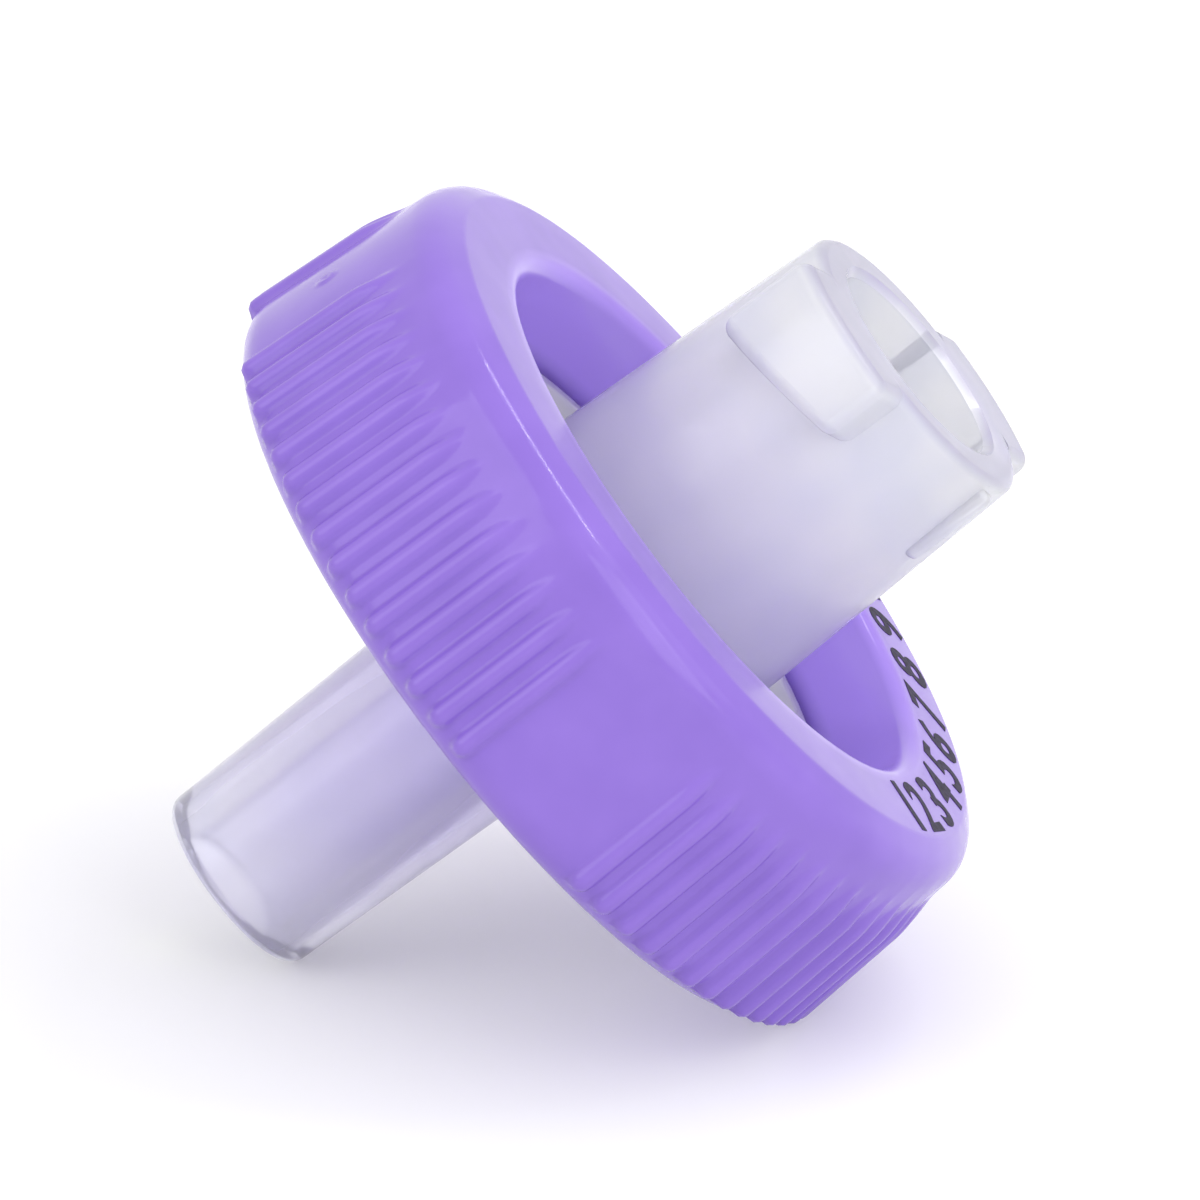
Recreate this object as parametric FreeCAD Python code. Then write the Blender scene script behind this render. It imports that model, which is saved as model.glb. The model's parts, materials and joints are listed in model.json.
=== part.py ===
import FreeCAD, Part
import math
import os
from FreeCAD import Placement, Rotation, Vector

# Syringe filter, 13 mm membrane, female Luer lock inlet and male Luer slip outlet.
# Units are millimetres and degrees.
#
# The pieces are made along the flow axis, which is local Z: 0 is the face that the membrane
# lies on, and positive is towards the inlet. At the end the whole filter is laid down the way
# it rests on a bench, leaning on its nozzle tip and on the edge of its ring.

# ---------------------------------------------------------------- driving dimensions

# Membrane
membrane_diameter = 13.0
membrane_thickness = 0.14
membrane_clearance = 0.1        # radial gap between the membrane and its pocket
clamp_width = 0.9               # edge of the membrane that the two halves clamp

# Plates of the two clear halves
pocket_wall = 0.6               # between the pocket and the outside of the flanges
inlet_plate = 1.15              # thickness under the inlet window
outlet_plate = 1.05             # thickness behind the outlet window
window_bead_width = 0.35        # flat top of the bead round the inlet window
window_bead_height = 0.3
window_bead_slope = 0.3         # width of its inner flank
window_bead_round = 0.12

# Male Luer slip nozzle
luer_taper = 0.06               # diameter change per millimetre, both cones
nozzle_tip_diameter = 4.0
nozzle_length = 7.8             # from the outlet window to the tip
nozzle_bore = 2.4
nozzle_tip_round = 0.25
nozzle_bore_chamfer = 0.15
nozzle_root_round = 0.35

# Drain under the membrane
drain_depth = 0.35
drain_ribs = 24                 # every second one is short
drain_rib_width = 0.28
long_rib_gap = 0.7              # from the nozzle bore to a long rib
short_rib_gap = 2.5

# Female Luer lock hub
socket_diameter = 4.27          # female cone at its mouth
socket_depth = 7.5
socket_chamfer = 0.15
socket_web = 0.55               # between the socket and the chamber
inlet_passage = 1.6
hub_rim_diameter = 6.1
hub_widening = 0.6              # root of the hub over its rim, in diameter
hub_rim_round = 0.25
hub_root_round = 0.5

# Lugs of the Luer lock thread, and the two small ribs between them
lug_span = 7.8                  # across both lugs
lug_width = 3.3
lug_height = 1.9                # at the middle of the lug
lug_slope = 12.0                # the underside follows the thread's helix
lug_round = 0.3
lug_azimuth = 50.0              # from the panel that the ring rests on
key_rib_width = 0.4
key_rib_height = 0.22
key_rib_length = 2.0
key_rib_round = 0.12

# Distribution chamber above the membrane
chamber_depth = 0.4
chamber_vanes = 8
vane_width = 0.3
vane_drop = 0.25                # stops short of the membrane
vane_gap = 0.7                  # from the inlet passage to a vane

# Moulded-on ring
ring_wall = 1.48                # outside the flanges, at the widest place
outlet_grip = 1.9               # overlap of the ring on the outlet flange
inlet_grip = 1.6                # overlap of the ring on the inlet flange
ring_outlet_lip = 0.7           # ring stands proud of the outlet window
ring_inlet_lip = 2.2            # ring stands proud of the inlet window
outlet_opening_draft = 12.0
inlet_opening_draft = 11.0
outlet_lip_round = 0.3
edge_round = 0.8                # outlet edge
band_draft = 0.28               # radius that the band loses up to the shoulder
shoulder_drop = 0.39            # corner of band and shoulder, below the inlet face
shoulder_round = 1.0
inlet_face_width = 1.72         # flat face round the inlet opening
inlet_face_round = 0.12         # its corner with the shoulder
inlet_lip_round = 0.35

# Grip ribs
panels = 4
ribs_per_group = 15
ribs_left_out = 4               # places without a rib at each smooth panel
rib_radius = 0.24
rib_relief = 0.2                # how proud a rib stands, so that the ring lies on its ribs
rib_start = 0.3                 # rib end above the outlet face
rib_fade = 1.1                  # length over which a rib sinks into the band
rib_sink = 0.02                 # depth of its crest under the band at the far end

# Gate mark of the ring, on one panel
gate_diameter = 0.5
gate_height = 0.08
gate_panel = 2

overlap = 0.2                   # an added feature reaches this far into its wall

# ---------------------------------------------------------------- levels and radii worked out

joint_level = membrane_thickness
inlet_window_level = joint_level + inlet_plate
outlet_window_level = -outlet_plate
tip_level = outlet_window_level - nozzle_length
chamber_level = joint_level + chamber_depth
socket_level = chamber_level + socket_web
rim_level = socket_level + socket_depth
ring_lip_level = inlet_window_level + ring_inlet_lip
ring_face_level = outlet_window_level - ring_outlet_lip
shoulder_level = ring_lip_level - shoulder_drop

pocket = membrane_diameter / 2 + membrane_clearance
wetted = membrane_diameter / 2 - clamp_width
flange = pocket + pocket_wall
band = flange + ring_wall
inlet_opening = flange - inlet_grip
bore = nozzle_bore / 2
passage = inlet_passage / 2
mouth = socket_diameter / 2
hub_rim = hub_rim_diameter / 2
hub_wall_middle = (mouth + hub_rim) / 2

rib_pitch = 360 / (panels * (ribs_per_group + ribs_left_out))
panel_half_angle = rib_pitch * (ribs_left_out + 1) / 2

AXIS = Vector(0, 0, 1)
ORIGIN = Vector(0, 0, 0)


# ---------------------------------------------------------------- helpers

def outline(corners):
    """Closed face in the X-Z half plane. Each corner is (radius, level, rounding)."""
    points = [Vector(corner[0], 0, corner[1]) for corner in corners]
    starts = []
    ends = []
    edges = []
    for i, here in enumerate(points):
        rounding = corners[i][2]
        if rounding == 0:
            starts.append(here)
            ends.append(here)
            continue
        back = (points[i - 1] - here).normalize()
        ahead = (points[(i + 1) % len(points)] - here).normalize()
        half_angle = back.getAngle(ahead) / 2
        setback = rounding / math.tan(half_angle)
        reach = rounding / math.sin(half_angle) - rounding
        bisector = (back + ahead).normalize()
        start = here + back * setback
        end = here + ahead * setback
        edges.append(Part.Arc(start, here + bisector * reach, end).toShape())
        starts.append(start)
        ends.append(end)
    for i, end in enumerate(ends):
        following = starts[(i + 1) % len(starts)]
        if end.distanceToPoint(following) > 1e-7:
            edges.append(Part.makeLine(end, following))
    return Part.Face(Part.Wire(Part.__sortEdges__(edges)))


def turned(corners):
    """Solid of revolution about the flow axis."""
    return outline(corners).revolve(ORIGIN, AXIS, 360)


def around(shape, azimuth):
    """Copy of a shape, turned about the flow axis."""
    copy = shape.copy()
    copy.rotate(ORIGIN, AXIS, azimuth)
    return copy


def radial_bar(start, end, width, low, high):
    """Straight bar along +X, centred on Y = 0."""
    return Part.makeBox(end - start, width, high - low, Vector(start, -width / 2, low))


def band_radius(level):
    """Radius of the ring's smooth band, a cone that narrows towards the inlet."""
    widest_level = ring_face_level + edge_round
    return band - band_draft * (level - widest_level) / (shoulder_level - widest_level)


def opened(radius, height, draft):
    """Radius of a tapered opening at a height above its smaller end."""
    return radius + height * math.tan(math.radians(draft))


# ---------------------------------------------------------------- pieces

def make_outlet_body():
    """Male half: nozzle, window plate, membrane pocket and drain with its support ribs."""
    tip = nozzle_tip_diameter / 2
    root = tip + nozzle_length * luer_taper / 2
    body = turned([
        (bore + nozzle_bore_chamfer, tip_level, 0),
        (tip, tip_level, nozzle_tip_round),
        (root, outlet_window_level, nozzle_root_round),
        (flange, outlet_window_level, 0),
        (flange, joint_level, 0),
        (pocket, joint_level, 0),
        (pocket, 0, 0),
        (wetted, 0, 0),
        (wetted, -drain_depth, 0),
        (bore, -drain_depth, 0),
        (bore, tip_level + nozzle_bore_chamfer, 0),
    ])
    ribs = []
    for i in range(drain_ribs):
        start = bore + (long_rib_gap if i % 2 == 0 else short_rib_gap)
        rib = radial_bar(start, wetted + overlap, drain_rib_width, -drain_depth - overlap, 0)
        ribs.append(around(rib, 360 * i / drain_ribs))
    return body.fuse(ribs).removeSplitter()


def make_lug():
    """One lug on +X: flush with the rim, its underside along the helix, its corners rounded."""
    half = lug_width / 2
    rise = half * math.tan(math.radians(lug_slope))
    corners = [
        Vector(hub_wall_middle, -half, rim_level),
        Vector(hub_wall_middle, half, rim_level),
        Vector(hub_wall_middle, half, rim_level - lug_height + rise),
        Vector(hub_wall_middle, -half, rim_level - lug_height - rise),
    ]
    side = Part.Face(Part.makePolygon(corners + corners[:1]))
    block = side.extrude(Vector(lug_span, 0, 0))
    across = Part.makeCylinder(lug_span / 2, rim_level, ORIGIN)
    lug = block.common(across)
    outer = [edge for edge in lug.Edges if edge.CenterOfMass.x > hub_rim]
    return lug.makeFillet(lug_round, outer)


def make_key_rib():
    """One small upright rib on +X, just under the rim."""
    top = rim_level - hub_rim_round
    rib = radial_bar(hub_wall_middle, hub_rim + key_rib_height, key_rib_width, top - key_rib_length, top)
    outer = [edge for edge in rib.Edges if edge.CenterOfMass.x > hub_wall_middle]
    return rib.makeFillet(key_rib_round, outer)


def make_inlet_body():
    """Female half: hub with socket, lugs and key ribs, window plate, chamber and its vanes."""
    bead_level = inlet_window_level + window_bead_height
    bead_inner = inlet_opening - window_bead_width
    body = turned([
        (flange, joint_level, 0),
        (flange, inlet_window_level, 0),
        (inlet_opening, inlet_window_level, 0),
        (inlet_opening, bead_level, window_bead_round),
        (bead_inner, bead_level, window_bead_round),
        (bead_inner - window_bead_slope, inlet_window_level, window_bead_round),
        (hub_rim + hub_widening / 2, inlet_window_level, hub_root_round),
        (hub_rim, rim_level, hub_rim_round),
        (mouth + socket_chamfer, rim_level, 0),
        (mouth, rim_level - socket_chamfer, 0),
        (mouth - socket_depth * luer_taper / 2, socket_level, 0),
        (passage, socket_level, 0),
        (passage, chamber_level, 0),
        (wetted, chamber_level, 0),
        (wetted, joint_level, 0),
    ])
    extras = []
    for side in (0, 180):
        extras.append(around(make_lug(), lug_azimuth + side))
        extras.append(around(make_key_rib(), lug_azimuth + 90 + side))
    vane = radial_bar(
        passage + vane_gap, wetted + overlap, vane_width, chamber_level - vane_drop, chamber_level + overlap)
    for i in range(chamber_vanes):
        extras.append(around(vane, 360 * i / chamber_vanes))
    return body.fuse(extras).removeSplitter()


def make_membrane():
    """Plain disc, clamped at its edge between the two halves."""
    return Part.makeCylinder(membrane_diameter / 2, membrane_thickness)


def rib_point(level, relief):
    """Point on the centre line of the grip rib on +X."""
    return Vector(band_radius(level) + relief - rib_radius, 0, level)


def rib_ball():
    """Centre of the rib's ball end, beside the outlet face."""
    return rib_point(ring_face_level + rib_start + rib_radius, rib_relief)


def rounded_bar(start, end):
    """Round bar with a ball at its start."""
    bar = Part.makeCylinder(rib_radius, start.distanceToPoint(end), start, end - start)
    return bar.fuse(Part.makeSphere(rib_radius, start))


def make_grip_rib():
    """One rib on +X: it follows the band, and sinks into it just below the shoulder."""
    far_level = shoulder_level - shoulder_round
    knee = rib_point(far_level - rib_fade, rib_relief)
    far = rib_point(far_level, -rib_sink)
    return rounded_bar(rib_ball(), knee).fuse(rounded_bar(knee, far)).removeSplitter()


def make_gate_mark():
    """Small round stub on +X, at the middle of the band."""
    level = (ring_face_level + shoulder_level) / 2
    foot = Vector(band_radius(level) - overlap, 0, level)
    return Part.makeCylinder(gate_diameter / 2, overlap + gate_height, foot, Vector(1, 0, 0))


def make_overmould_ring():
    """Coloured ring, C-shaped in section, that grips both flanges and frames both windows."""
    outlet_inner = flange - outlet_grip
    outlet_outer = opened(outlet_inner, ring_outlet_lip, outlet_opening_draft)
    inlet_outer = opened(inlet_opening, ring_inlet_lip, inlet_opening_draft)
    ring = turned([
        (outlet_inner, outlet_window_level, 0),
        (outlet_outer, ring_face_level, outlet_lip_round),
        (band_radius(ring_face_level), ring_face_level, edge_round),
        (band - band_draft, shoulder_level, shoulder_round),
        (inlet_outer + inlet_face_width, ring_lip_level, inlet_face_round),
        (inlet_outer, ring_lip_level, inlet_lip_round),
        (inlet_opening, inlet_window_level, 0),
        (flange, inlet_window_level, 0),
        (flange, outlet_window_level, 0),
    ])
    rib = make_grip_rib()
    extras = [around(make_gate_mark(), gate_panel * 360 / panels)]
    for panel in range(panels):
        first = panel * 360 / panels + panel_half_angle
        for i in range(ribs_per_group):
            extras.append(around(rib, first + i * rib_pitch))
    return ring.fuse(extras).removeSplitter()


# ---------------------------------------------------------------- resting pose

def lean_angle():
    """Angle of the flow axis above the bench when nozzle tip and two grip ribs touch it."""
    tip_radius = nozzle_tip_diameter / 2 - nozzle_tip_round
    tip_round_level = tip_level + nozzle_tip_round
    ball = rib_ball()
    along = ball.z - tip_round_level
    outward = ball.x * math.cos(math.radians(panel_half_angle)) - tip_radius
    step = rib_radius - nozzle_tip_round
    return math.degrees(math.atan2(outward, along) + math.asin(step / math.hypot(along, outward)))


def lay_down(shapes):
    """Lean every piece, then put the bottom centre of the whole filter at the origin."""
    lean = Rotation(Vector(0, 1, 0), 90 - lean_angle())
    leaned = {}
    for name, shape in shapes.items():
        leaned[name] = shape.copy()
        leaned[name].Placement = Placement(ORIGIN, lean)
    box = Part.makeCompound(list(leaned.values())).optimalBoundingBox(False)
    shift = Vector(-box.Center.x, -box.Center.y, -box.ZMin)
    for shape in leaned.values():
        shape.translate(shift)
    return leaned


pieces = lay_down({
    "outlet_body": make_outlet_body(),
    "inlet_body": make_inlet_body(),
    "membrane": make_membrane(),
    "overmould_ring": make_overmould_ring(),
})
os.makedirs("parts", exist_ok=True)
for name, shape in pieces.items():
    shape.exportStep(f"parts/{name}.step")
    print(name, shape.isValid(), len(shape.Solids), round(shape.Volume, 2))
print("flow axis above the bench", round(lean_angle(), 2))
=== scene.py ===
import json
import math

import bpy
import numpy as np
from mathutils import Matrix, Vector


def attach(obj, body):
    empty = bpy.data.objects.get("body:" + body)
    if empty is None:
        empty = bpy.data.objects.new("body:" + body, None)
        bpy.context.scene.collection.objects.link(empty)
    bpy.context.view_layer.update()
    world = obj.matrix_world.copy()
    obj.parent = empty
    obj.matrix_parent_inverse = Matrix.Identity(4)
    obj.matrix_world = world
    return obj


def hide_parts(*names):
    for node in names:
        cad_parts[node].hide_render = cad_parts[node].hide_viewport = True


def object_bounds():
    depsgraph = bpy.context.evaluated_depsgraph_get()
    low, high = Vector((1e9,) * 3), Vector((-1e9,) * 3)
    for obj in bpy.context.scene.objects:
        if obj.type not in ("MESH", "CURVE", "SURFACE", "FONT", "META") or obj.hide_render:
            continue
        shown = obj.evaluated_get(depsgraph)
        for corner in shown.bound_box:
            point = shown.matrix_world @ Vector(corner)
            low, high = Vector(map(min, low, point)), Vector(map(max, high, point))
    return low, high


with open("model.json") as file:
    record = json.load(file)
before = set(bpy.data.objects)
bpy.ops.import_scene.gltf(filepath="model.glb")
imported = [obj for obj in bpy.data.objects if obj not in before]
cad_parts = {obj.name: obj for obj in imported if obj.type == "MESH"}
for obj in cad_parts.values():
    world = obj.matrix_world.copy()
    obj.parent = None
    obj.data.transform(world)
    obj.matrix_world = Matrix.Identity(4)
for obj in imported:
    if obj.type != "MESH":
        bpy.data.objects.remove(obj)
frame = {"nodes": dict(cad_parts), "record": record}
cad_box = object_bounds()

# The filter's own frame: level 0 is the face that the membrane lies on, levels rise towards the
# inlet along the flow axis, and azimuth 0 is the side that lies on the bench. Sizes are in
# millimetres there, and the meshes are in metres.

MM = 0.001

# ---------------------------------------------------------------- sizes, in millimetres

RIM_LEVEL = 8.59                # inlet's rim, where the record's inlet mount is
INLET_WINDOW = 1.29
OUTLET_WINDOW = -1.05

FLANGE = 7.2                    # radius of the two clear flanges inside the ring
BAND = 8.69                     # ring's widest radius, without its ribs
OUTLET_OPENING = 5.3
INLET_OPENING = 5.6
OUTLET_LIP = 0.7                # ring over each window
INLET_LIP = 2.2
OUTLET_DRAFT = 12.0
INLET_DRAFT = 11.0
OUTLET_LIP_ROUND = 0.3
INLET_LIP_ROUND = 0.35
EDGE_ROUND = 0.8                # outlet edge
BAND_DRAFT = 0.28               # radius that the band loses up to the shoulder
SHOULDER_DROP = 0.39            # corner of band and shoulder, below the inlet face
SHOULDER_ROUND = 0.8
FACE_WIDTH = 1.72               # flat face round the inlet opening
FACE_ROUND = 0.25               # its corner with the shoulder
SKIN_GAP = 0.012                # ring's hidden walls stop this far from the clear halves

PANELS = 4
RIBS_PER_GROUP = 15
RIBS_LEFT_OUT = 4               # places without a rib at each smooth panel
RIB_RADIUS = 0.235
RIB_RELIEF = 0.175              # how proud a rib stands
RIB_START = 0.35                # rib end above the outlet face
RIB_FADE = 1.8                  # length over which a rib sinks into the band
RIB_END = 0.1                   # far end, below the shoulder's corner
RIB_SINK = 0.1                  # depth of its crest under the band at the far end
RIB_DROP = 5.0                  # steepness beyond a rib's own outline
RIB_BLEND = 0.03                # fillet between a rib and the band
COLUMNS_PER_PITCH = 12

GATE_RADIUS = 0.25
GATE_HEIGHT = 0.04
GATE_EDGE = 0.07                # width of its sloping edge
GATE_DIMPLE_RADIUS = 0.1125
GATE_DIMPLE_DEPTH = 0.032
GATE_AZIMUTH = 180.0

RING_FACE = OUTLET_WINDOW - OUTLET_LIP
RING_LIP = INLET_WINDOW + INLET_LIP
SHOULDER = RING_LIP - SHOULDER_DROP
RIB_PITCH = 360 / (PANELS * (RIBS_PER_GROUP + RIBS_LEFT_OUT))

# ---------------------------------------------------------------- the filter's frame, from the record

mounts = {mount["name"]: mount for mount in frame["record"]["mounts"]}
rim_centre = Vector(mounts["luer_inlet"]["pos_m"])
tip_centre = Vector(mounts["luer_outlet"]["pos_m"])
flow = (rim_centre - tip_centre).normalized()
seat = rim_centre - flow * RIM_LEVEL * MM
towards_bench = Vector((flow.z, 0, -flow.x))
across = Vector((0, 1, 0))
to_world = Matrix((towards_bench, across, flow)).transposed().to_4x4()
to_world.translation = seat


# ---------------------------------------------------------------- mesh helpers

def smooth_step(low, high, value):
    t = np.clip((value - low) / (high - low), 0, 1)
    return t * t * (3 - 2 * t)


def smooth_max(a, b, blend):
    """Larger of two surfaces, with a fillet of about the blend's size where they cross."""
    return (a + b + np.sqrt((a - b) ** 2 + blend ** 2)) / 2


def opened(radius, height, draft):
    """Radius of a tapered opening at a height above its smaller end."""
    return radius + height * math.tan(math.radians(draft))


def rounded_loop(corners):
    """Closed loop of (radius, level) points. A corner is (radius, level, rounding, arc pieces,
    length of the pieces along the run to the next corner)."""
    points = [Vector(corner[:2]) for corner in corners]
    stretches = []
    for i, here in enumerate(points):
        rounding, pieces = corners[i][2:4]
        if rounding == 0:
            stretches.append([here])
            continue
        back = (points[i - 1] - here).normalized()
        ahead = (points[(i + 1) % len(points)] - here).normalized()
        half_angle = back.angle(ahead) / 2
        centre = here + (back + ahead).normalized() * rounding / math.sin(half_angle)
        setback = rounding / math.tan(half_angle)
        start = (here + back * setback - centre).normalized()
        end = (here + ahead * setback - centre).normalized()
        stretches.append([centre + rounding * start.slerp(end, k / pieces) for k in range(pieces + 1)])
    loop = []
    for i, stretch in enumerate(stretches):
        loop.extend(stretch)
        target = stretches[(i + 1) % len(stretches)][0]
        run = target - stretch[-1]
        count = max(1, round(run.length / corners[i][4]))
        loop.extend(stretch[-1] + run * k / count for k in range(1, count))
    return np.array([list(point) for point in loop])


def mesh_object(name, vertices, faces, material):
    mesh = bpy.data.meshes.new(name)
    mesh.from_pydata(vertices, [], faces)
    mesh.transform(Matrix.Scale(MM, 4))
    mesh.transform(to_world)
    mesh.materials.append(material)
    piece = bpy.data.objects.new(name, mesh)
    bpy.context.scene.collection.objects.link(piece)
    return piece


def lathe(name, radii, levels, azimuths, material):
    """Closed mesh over a grid of rows round the axis; radii and levels have one row per profile point."""
    rows, columns = radii.shape
    x = radii * np.cos(azimuths)
    y = radii * np.sin(azimuths)
    vertices = np.stack([x, y, levels], axis=-1).reshape(-1, 3)
    row, column = np.meshgrid(np.arange(rows), np.arange(columns), indexing="ij")
    next_row = (row + 1) % rows
    next_column = (column + 1) % columns
    corners = [row * columns + column, row * columns + next_column,
               next_row * columns + next_column, next_row * columns + column]
    faces = np.stack(corners, axis=-1).reshape(-1, 4)
    piece = mesh_object(name, vertices.tolist(), faces.tolist(), material)
    piece.data.shade_smooth()
    return piece


# ---------------------------------------------------------------- materials

NOISE_SPAN = (0.35, 0.65)       # range that most of a noise's values lie in


class Look:
    """A material under construction: one Principled shader and short calls that feed it."""

    def __init__(self, name, colour, roughness):
        self.material = bpy.data.materials.new(name)
        self.material.use_nodes = True
        self.nodes = self.material.node_tree.nodes
        self.links = self.material.node_tree.links
        self.nodes.clear()
        self.shader = self.nodes.new("ShaderNodeBsdfPrincipled")
        output = self.nodes.new("ShaderNodeOutputMaterial")
        self.links.new(self.shader.outputs["BSDF"], output.inputs["Surface"])
        self.place = self.nodes.new("ShaderNodeTexCoord")
        self.set("Base Color", (*colour, 1))
        self.set("Roughness", roughness)

    def set(self, socket, value):
        self.shader.inputs[socket].default_value = value

    def noise(self, size_mm, detail=0.0):
        """Noise whose blotches are about that size."""
        noise = self.nodes.new("ShaderNodeTexNoise")
        noise.inputs["Scale"].default_value = 1 / (size_mm * MM)
        noise.inputs["Detail"].default_value = detail
        self.links.new(self.place.outputs["Object"], noise.inputs["Vector"])
        return noise.outputs["Fac"]

    def ramp(self, source, low, high, span=NOISE_SPAN):
        """Colour that goes from low to high with the source."""
        ramp = self.nodes.new("ShaderNodeValToRGB")
        ramp.color_ramp.elements[0].position = span[0]
        ramp.color_ramp.elements[0].color = (*low, 1)
        ramp.color_ramp.elements[1].position = span[1]
        ramp.color_ramp.elements[1].color = (*high, 1)
        self.links.new(source, ramp.inputs["Fac"])
        return ramp.outputs["Color"]

    def spread(self, source, source_range, result_range):
        """The source, moved from one range to another and held at its ends."""
        spread = self.nodes.new("ShaderNodeMapRange")
        spread.inputs["From Min"].default_value = source_range[0]
        spread.inputs["From Max"].default_value = source_range[1]
        spread.inputs["To Min"].default_value = result_range[0]
        spread.inputs["To Max"].default_value = result_range[1]
        self.links.new(source, spread.inputs["Value"])
        return spread.outputs["Result"]

    def vary(self, socket, source, low, high):
        """A socket's value goes from low to high with the noise. A roughness that crosses 0.27 would
        leave specks in the denoised render, so both ends stay on one side of it."""
        self.links.new(self.spread(source, NOISE_SPAN, (low, high)), self.shader.inputs[socket])

    def above(self, level):
        """Distance above a level along the flow axis, in metres."""
        along = self.nodes.new("ShaderNodeVectorMath")
        along.operation = "DOT_PRODUCT"
        along.inputs[1].default_value = flow
        self.links.new(self.place.outputs["Object"], along.inputs[0])
        height = self.nodes.new("ShaderNodeMath")
        height.operation = "SUBTRACT"
        height.inputs[1].default_value = seat.dot(flow) + level * MM
        self.links.new(along.outputs["Value"], height.inputs[0])
        return height.outputs[0]

    def near_ring(self, reach_mm):
        """1 at the ring's outlet face, falling to 0 that far along the flow axis either way."""
        distance = self.nodes.new("ShaderNodeMath")
        distance.operation = "ABSOLUTE"
        self.links.new(self.above(RING_FACE), distance.inputs[0])
        return self.spread(distance.outputs[0], (0, reach_mm * MM), (1, 0))

    def at_rim(self, depth_mm):
        """1 at the inlet's rim, falling to 0 that far below it."""
        return self.spread(self.above(RIM_LEVEL), (-depth_mm * MM, 0), (0, 1))

    def from_axis(self):
        """Distance from the flow axis, in metres."""
        from_seat = self.nodes.new("ShaderNodeVectorMath")
        from_seat.operation = "SUBTRACT"
        from_seat.inputs[1].default_value = seat
        self.links.new(self.place.outputs["Object"], from_seat.inputs[0])
        sideways = self.nodes.new("ShaderNodeVectorMath")
        sideways.operation = "CROSS_PRODUCT"
        sideways.inputs[1].default_value = flow
        self.links.new(from_seat.outputs["Vector"], sideways.inputs[0])
        distance = self.nodes.new("ShaderNodeVectorMath")
        distance.operation = "LENGTH"
        self.links.new(sideways.outputs["Vector"], distance.inputs[0])
        return distance.outputs["Value"]

    def near_axis(self, inner_mm, outer_mm):
        """1 within the inner distance of the flow axis, falling to 0 at the outer one."""
        return self.spread(self.from_axis(), (inner_mm * MM, outer_mm * MM), (1, 0))

    def near_wall(self, inner_mm, outer_mm):
        """0 within the inner distance of the flow axis, rising to 1 at the outer one."""
        return self.spread(self.from_axis(), (inner_mm * MM, outer_mm * MM), (0, 1))

    def both(self, first, second):
        """1 where both are 1, and 0 where either is 0."""
        product = self.nodes.new("ShaderNodeMath")
        product.operation = "MULTIPLY"
        self.links.new(first, product.inputs[0])
        self.links.new(second, product.inputs[1])
        return product.outputs[0]

    def mix(self, factor, first, second):
        mix = self.nodes.new("ShaderNodeMix")
        mix.data_type = "RGBA"
        self.links.new(factor, mix.inputs["Factor"])
        self.links.new(first, mix.inputs["A"])
        mix.inputs["B"].default_value = (*second, 1)
        return mix.outputs["Result"]

    def bump(self, source, height_mm):
        bump = self.nodes.new("ShaderNodeBump")
        bump.inputs["Strength"].default_value = 1.0
        bump.inputs["Distance"].default_value = height_mm * MM
        self.links.new(source, bump.inputs["Height"])
        self.links.new(bump.outputs["Normal"], self.shader.inputs["Normal"])


RING_LIGHT_REACH = 9.5                # painted purple light from the ring on the hub and the nozzle, this far along the flow axis
HUB_RING_LIGHT = (3.5, 4.2)           # and up to these radii
WINDOW_RING_REFLECTION = (4.9, 5.6)        # painted reflection of the purple ring on the windows' edges, between these radii
RIM_SHADE = 0.2                 # depth of the painted shade on the inlet's rim
WALL_PAINTED_LIGHT = (5.9, 6.5)       # radii between which the painted light on the ring's inner walls ends


def clear_polypropylene(name, clearness, roughness):
    """Milky, glossy plastic: slow clouds in it and faint flow waves, with painted purple light from the
    ring on the hub and the nozzle, a painted reflection of the purple ring on the windows' edges, and
    painted shade on the inlet's rim.
    """
    look = Look(name, (0.92, 0.92, 0.97), 0.2)
    look.set("IOR", 1.49)
    look.set("Transmission Weight", clearness)
    clouds = look.noise(2.2, detail=1.0)
    milk = look.ramp(clouds, (0.89, 0.90, 0.975), (0.985, 0.988, 1.0), span=(0.4, 0.6))
    # Painted light: near the ring and the axis, the hub and the nozzle turn purple as if lit by the ring.
    ring_light_mask = look.both(look.near_ring(RING_LIGHT_REACH), look.near_axis(*HUB_RING_LIGHT))
    painted_ring_light = look.mix(ring_light_mask, milk, (0.77, 0.71, 1.0))
    # Painted reflection: the windows' edges turn purple, as the ring's walls would be reflected there.
    painted_window_reflection = look.mix(look.near_wall(*WINDOW_RING_REFLECTION), painted_ring_light, (0.64, 0.54, 0.96))
    # Painted shade: the inlet's rim is darker and more lavender.
    painted_rim_shade = look.mix(look.at_rim(RIM_SHADE), painted_window_reflection, (0.66, 0.64, 0.80))
    look.links.new(painted_rim_shade, look.shader.inputs["Base Color"])
    look.vary("Roughness", look.noise(0.8), *roughness)
    look.bump(look.noise(1.6), 0.02)
    return look.material


def purple_polypropylene():
    """Satin pigmented plastic: slight streaks in its colour, faint flow waves, and painted light that
    brightens its inner walls round the openings.
    """
    look = Look("purple_polypropylene", (0.26, 0.15, 0.62), 0.17)
    look.set("IOR", 1.49)
    look.set("Specular IOR Level", 0.4)
    streaks = look.noise(1.8, detail=2.0)
    pigment = look.ramp(streaks, (0.248, 0.142, 0.60), (0.272, 0.158, 0.64))
    # Painted light: a brighter purple on the ring's inner walls near the axis, as if lit through the ring.
    painted_wall_light = look.mix(look.near_axis(*WALL_PAINTED_LIGHT), pigment, (0.45, 0.30, 0.92))
    look.links.new(painted_wall_light, look.shader.inputs["Base Color"])
    look.vary("Roughness", look.noise(0.5), 0.13, 0.20)
    look.bump(look.noise(1.5), 0.008)
    return look.material


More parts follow.
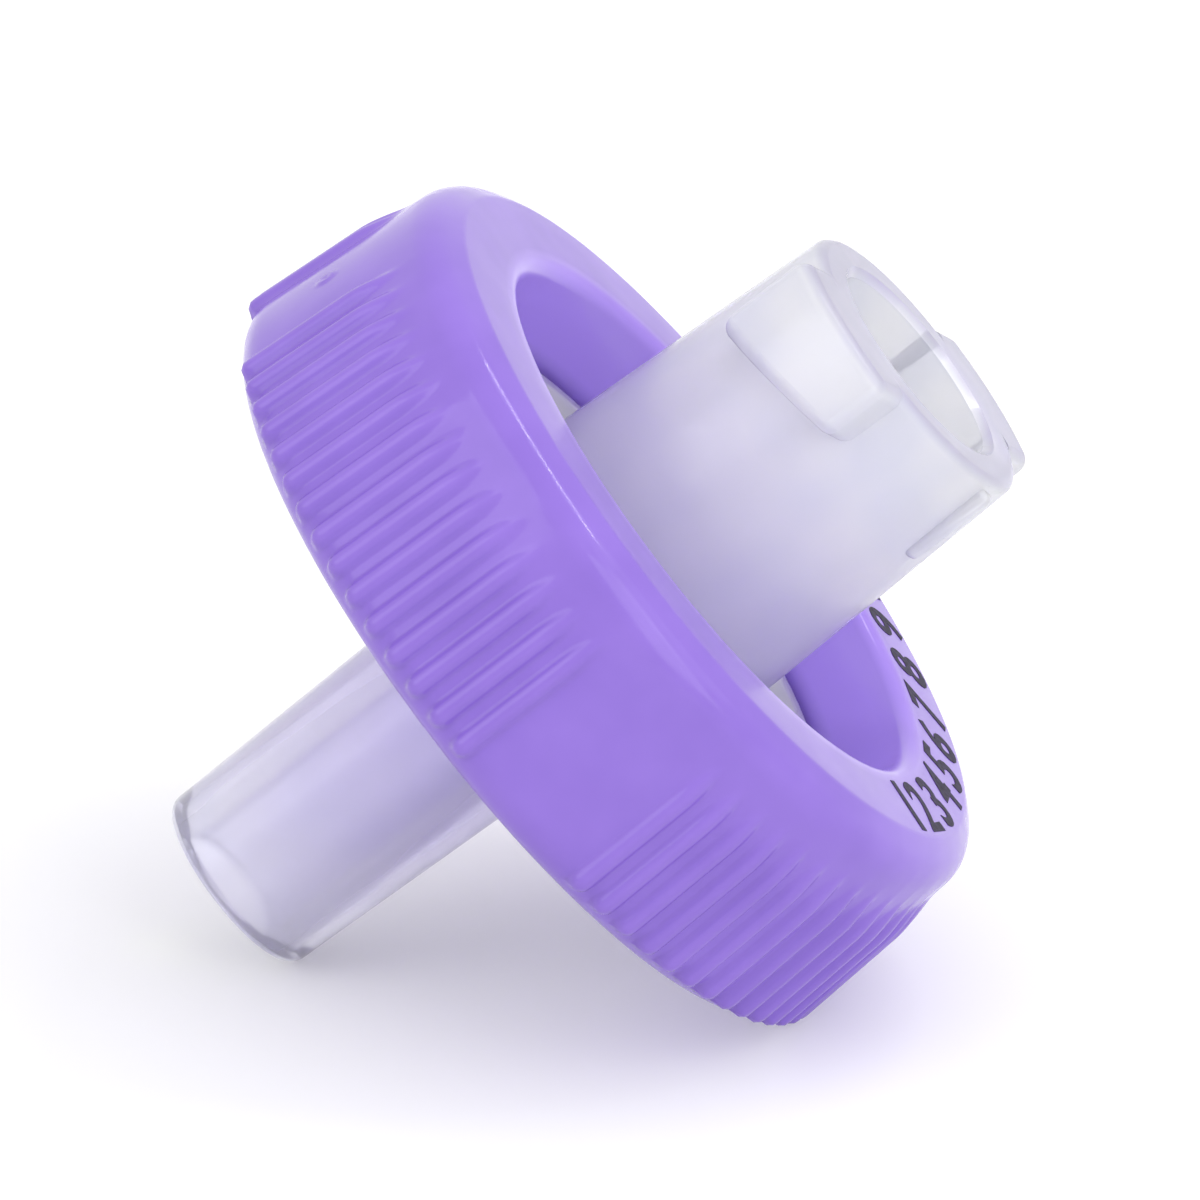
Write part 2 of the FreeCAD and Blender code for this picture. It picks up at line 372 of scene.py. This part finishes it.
def membrane_paper():
    """Matte white membrane with fine pores."""
    look = Look("membrane_paper", (0.92, 0.92, 0.91), 0.85)
    pores = look.noise(0.09, detail=4.0)
    paper = look.ramp(pores, (0.84, 0.84, 0.84), (0.95, 0.95, 0.94))
    look.links.new(paper, look.shader.inputs["Base Color"])
    look.bump(pores, 0.01)
    return look.material


def ink():
    """Thin dark print, slightly uneven as from a pad."""
    look = Look("dark_ink", (0.03, 0.025, 0.05), 0.6)
    look.set("Specular IOR Level", 0.2)
    wear = look.noise(0.1, detail=3.0)
    printed = look.ramp(wear, (0.018, 0.014, 0.03), (0.045, 0.035, 0.08))
    look.links.new(printed, look.shader.inputs["Base Color"])
    look.bump(wear, 0.003)
    return look.material


# ---------------------------------------------------------------- the purple ring

def band_radius(level):
    """Radius of the ring's smooth band, a cone that narrows towards the inlet."""
    widest = RING_FACE + EDGE_ROUND
    return BAND - BAND_DRAFT * (level - widest) / (SHOULDER - widest)


def rib_surface(azimuths, levels):
    """Radius of the round-topped ribs. It falls away fast outside a rib, and is 0 on the smooth panels."""
    place = azimuths / RIB_PITCH
    nearest = np.floor(place) + 0.5
    group_size = RIBS_PER_GROUP + RIBS_LEFT_OUT
    from_panel = np.abs((nearest + group_size / 2) % group_size - group_size / 2)
    sideways = BAND * np.radians((place - nearest) * RIB_PITCH)
    beyond = np.maximum(RING_FACE + RIB_START + RIB_RADIUS - levels, 0)
    distance = np.hypot(sideways, beyond)
    inside = np.sqrt(np.maximum(RIB_RADIUS ** 2 - distance ** 2, 0)) - RIB_RADIUS
    crown = inside - RIB_DROP * np.maximum(distance - RIB_RADIUS, 0)
    far = SHOULDER - RIB_END
    sinking = (RIB_RELIEF + RIB_SINK) * smooth_step(far - RIB_FADE, far, levels)
    surface = band_radius(levels) + RIB_RELIEF + crown - sinking
    return np.where(from_panel > RIBS_LEFT_OUT / 2, surface, 0)


def build_ring(material):
    """Ring, C-shaped in section, with its grip ribs and its gate mark."""
    outlet_outer = opened(OUTLET_OPENING, OUTLET_LIP, OUTLET_DRAFT)
    inlet_outer = opened(INLET_OPENING, INLET_LIP, INLET_DRAFT)
    loop = rounded_loop([
        (OUTLET_OPENING, OUTLET_WINDOW - SKIN_GAP, 0, 0, 0.2),
        (outlet_outer, RING_FACE, OUTLET_LIP_ROUND, 6, 0.8),
        (band_radius(RING_FACE), RING_FACE, EDGE_ROUND, 11, 0.08),
        (BAND - BAND_DRAFT, SHOULDER, SHOULDER_ROUND, 12, 0.4),
        (inlet_outer + FACE_WIDTH, RING_LIP, FACE_ROUND, 4, 0.5),
        (inlet_outer, RING_LIP, INLET_LIP_ROUND, 7, 0.6),
        (INLET_OPENING, INLET_WINDOW + SKIN_GAP, 0, 0, 0.8),
        (FLANGE + SKIN_GAP, INLET_WINDOW + SKIN_GAP, 0, 0, 1.2),
        (FLANGE + SKIN_GAP, OUTLET_WINDOW - SKIN_GAP, 0, 0, 1.0),
    ])
    columns = round(360 / RIB_PITCH) * COLUMNS_PER_PITCH
    azimuths = (np.arange(columns) * 360 / columns)[None, :]
    levels = np.repeat(loop[:, 1:], columns, axis=1)
    radii = np.repeat(loop[:, :1], columns, axis=1)
    ribbed = smooth_max(radii, rib_surface(azimuths, levels), RIB_BLEND)
    outside = (radii > FLANGE) & (levels > RING_FACE) & (levels < SHOULDER - RIB_END)
    radii = np.where(outside, ribbed, radii)
    gate_level = (RING_FACE + SHOULDER) / 2
    aside = BAND * np.radians(azimuths - GATE_AZIMUTH)
    from_gate = np.hypot(aside, levels - gate_level)
    mark = GATE_HEIGHT * (1 - smooth_step(GATE_RADIUS - GATE_EDGE, GATE_RADIUS, from_gate))
    dimple = GATE_DIMPLE_DEPTH * (1 - smooth_step(0, GATE_DIMPLE_RADIUS, from_gate))
    radii = radii + np.where(outside, mark - dimple, 0)
    return lathe("ring_skin", radii, levels, np.radians(azimuths), material)


# ---------------------------------------------------------------- plain numbers printed on the inlet face

NUMBERS = [str(n) for n in range(1, 11)]
NUMBER_HEIGHT = 1.2
NUMBER_RADIUS = 7.03            # middle of the numbers
NUMBER_MIDDLE = 13.0            # azimuth of the row's middle
NUMBER_GAP = 0.42
NUMBER_BOLDNESS = 0.02          # added to each side of a stroke, in letter sizes
INK_HEIGHT = 0.012


def number_mesh(text):
    """Closed slab of a number as (vertices, faces): centred, one unit high, from -1 to 1 in depth."""
    curve = bpy.data.curves.new("number", "FONT")
    curve.body = text
    curve.offset = NUMBER_BOLDNESS
    curve.extrude = 1.0
    curve.resolution_u = 4
    holder = bpy.data.objects.new("number", curve)
    bpy.context.scene.collection.objects.link(holder)
    bpy.context.view_layer.update()
    mesh = bpy.data.meshes.new_from_object(holder.evaluated_get(bpy.context.evaluated_depsgraph_get()))
    vertices = np.array([list(v.co) for v in mesh.vertices])
    faces = [list(polygon.vertices) for polygon in mesh.polygons]
    bpy.data.objects.remove(holder)
    bpy.data.curves.remove(curve)
    bpy.data.meshes.remove(mesh)
    low = vertices.min(axis=0)
    high = vertices.max(axis=0)
    vertices[:, :2] = (vertices[:, :2] - (low + high)[:2] / 2) / (high - low)[1]
    return vertices, faces


def build_numbers(material):
    """Row of plain numbers bent round the inlet face, their tops towards the hub."""
    slabs = [number_mesh(text) for text in NUMBERS]
    widths = [np.ptp(slab[:, 0]) * NUMBER_HEIGHT for slab, _ in slabs]
    length = sum(widths) + NUMBER_GAP * (len(NUMBERS) - 1)
    along = math.radians(NUMBER_MIDDLE) * NUMBER_RADIUS - length / 2
    vertices = []
    faces = []
    for (slab, outline), width in zip(slabs, widths):
        first = len(vertices)
        for x, y, depth in slab:
            radius = NUMBER_RADIUS - y * NUMBER_HEIGHT
            angle = (along + width / 2 + x * NUMBER_HEIGHT) / NUMBER_RADIUS
            level = RING_LIP + depth * INK_HEIGHT
            vertices.append((radius * math.cos(angle), radius * math.sin(angle), level))
        faces.extend([first + k for k in face] for face in outline)
        along += width + NUMBER_GAP
    return mesh_object("printed_numbers", vertices, faces, material)


# ---------------------------------------------------------------- surroundings, in metres

FLOOR_SIZE = 3.0
FLOOR_LIFT = 0.2                # floor's own light on rays that see it directly
WORLD_LIGHT = 0.9               # surroundings' light on everything else


def seen_directly(nodes, links, path):
    """1 on rays that come from the camera, a reflection or a clear piece, and 0 on the rest."""
    value = path.outputs["Is Camera Ray"]
    for name in ("Is Glossy Ray", "Is Transmission Ray"):
        either = nodes.new("ShaderNodeMath")
        either.operation = "MAXIMUM"
        links.new(value, either.inputs[0])
        links.new(path.outputs[name], either.inputs[1])
        value = either.outputs[0]
    return value


def studio_floor():
    """White floor that keeps the object's shadow; camera, mirror and glass rays see it near white."""
    look = Look("studio_floor", (0.82, 0.82, 0.82), 0.9)
    look.set("Specular IOR Level", 0.0)
    look.set("Emission Color", (1, 1, 1, 1))
    path = look.nodes.new("ShaderNodeLightPath")
    seen = seen_directly(look.nodes, look.links, path)
    lift = look.nodes.new("ShaderNodeMath")
    lift.operation = "MULTIPLY"
    lift.inputs[1].default_value = FLOOR_LIFT
    look.links.new(seen, lift.inputs[0])
    look.links.new(lift.outputs[0], look.shader.inputs["Emission Strength"])
    return look.material


def build_floor():
    bpy.ops.mesh.primitive_plane_add(size=FLOOR_SIZE)
    floor = bpy.context.object
    floor.name = "floor"
    floor.data.materials.append(studio_floor())


def build_world():
    world = bpy.data.worlds.new("studio")
    bpy.context.scene.world = world
    world.use_nodes = True
    nodes = world.node_tree.nodes
    links = world.node_tree.links
    background = nodes["Background"]
    background.inputs["Color"].default_value = (1, 1, 1, 1)
    path = nodes.new("ShaderNodeLightPath")
    strength = nodes.new("ShaderNodeMapRange")
    strength.inputs["To Min"].default_value = WORLD_LIGHT
    strength.inputs["To Max"].default_value = 1.0
    links.new(seen_directly(nodes, links, path), strength.inputs["Value"])
    links.new(strength.outputs["Result"], background.inputs["Strength"])


def area_light(name, direction, distance, size, power, turn=0.0):
    """Rectangular lamp that faces the filter from a direction."""
    data = bpy.data.lights.new(name, "AREA")
    data.shape = "RECTANGLE"
    data.size = size[0]
    data.size_y = size[1]
    data.energy = power
    lamp = bpy.data.objects.new(name, data)
    bpy.context.scene.collection.objects.link(lamp)
    middle = (cad_box[0] + cad_box[1]) / 2
    outward = Vector(direction).normalized()
    lamp.location = middle + outward * distance
    lamp.rotation_mode = "QUATERNION"
    facing = (-outward).to_track_quat("-Z", "Y")
    lamp.rotation_quaternion = facing @ Matrix.Rotation(math.radians(turn), 3, "Z").to_quaternion()
    lamp.visible_camera = False
    return lamp


def build_camera():
    """The camera looks along +Y and down, with the slight roll of the reference view."""
    target = (cad_box[0] + cad_box[1]) / 2
    distance = 0.309
    elevation = math.radians(20.66)
    roll = math.radians(3.1)
    seen_width = 0.0235
    data = bpy.data.cameras.new("camera")
    camera = bpy.data.objects.new("camera", data)
    bpy.context.scene.collection.objects.link(camera)
    towards = Vector((0, -math.cos(elevation), math.sin(elevation)))
    camera.location = target + distance * towards
    camera.rotation_mode = "QUATERNION"
    level = (-towards).to_track_quat("-Z", "Y")
    camera.rotation_quaternion = level @ Matrix.Rotation(roll, 3, "Z").to_quaternion()
    data.sensor_width = 36
    data.lens = data.sensor_width * distance / seen_width
    data.clip_start = 0.01
    data.clip_end = 10
    bpy.context.scene.camera = camera


# ---------------------------------------------------------------- the scene

build_floor()
build_world()
area_light("overhead", (0.42, 0.12, 0.90), 0.35, (0.24, 0.008), 0.2, turn=25)
area_light("front_left", (-0.75, -0.55, 0.62), 0.45, (0.30, 0.30), 0.36)
area_light("right", (0.55, -0.72, 0.50), 0.45, (0.30, 0.30), 0.42)
area_light("inlet_side", (0.74, -0.25, 0.62), 0.45, (0.30, 0.30), 0.16)
build_camera()

purple = purple_polypropylene()
ring = build_ring(purple)
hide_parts("overmould_ring")
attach(ring, "root")

numbers = build_numbers(ink())
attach(numbers, "root")

carried = {
    "inlet_body": clear_polypropylene("clear_polypropylene_inlet", 0.48, (0.16, 0.26)),
    "outlet_body": clear_polypropylene("clear_polypropylene_outlet", 0.72, (0.09, 0.17)),
    "membrane": membrane_paper(),
}
for node, material in carried.items():
    frame["nodes"][node].data.materials[0] = material

bpy.context.scene.view_settings.view_transform = "Standard"
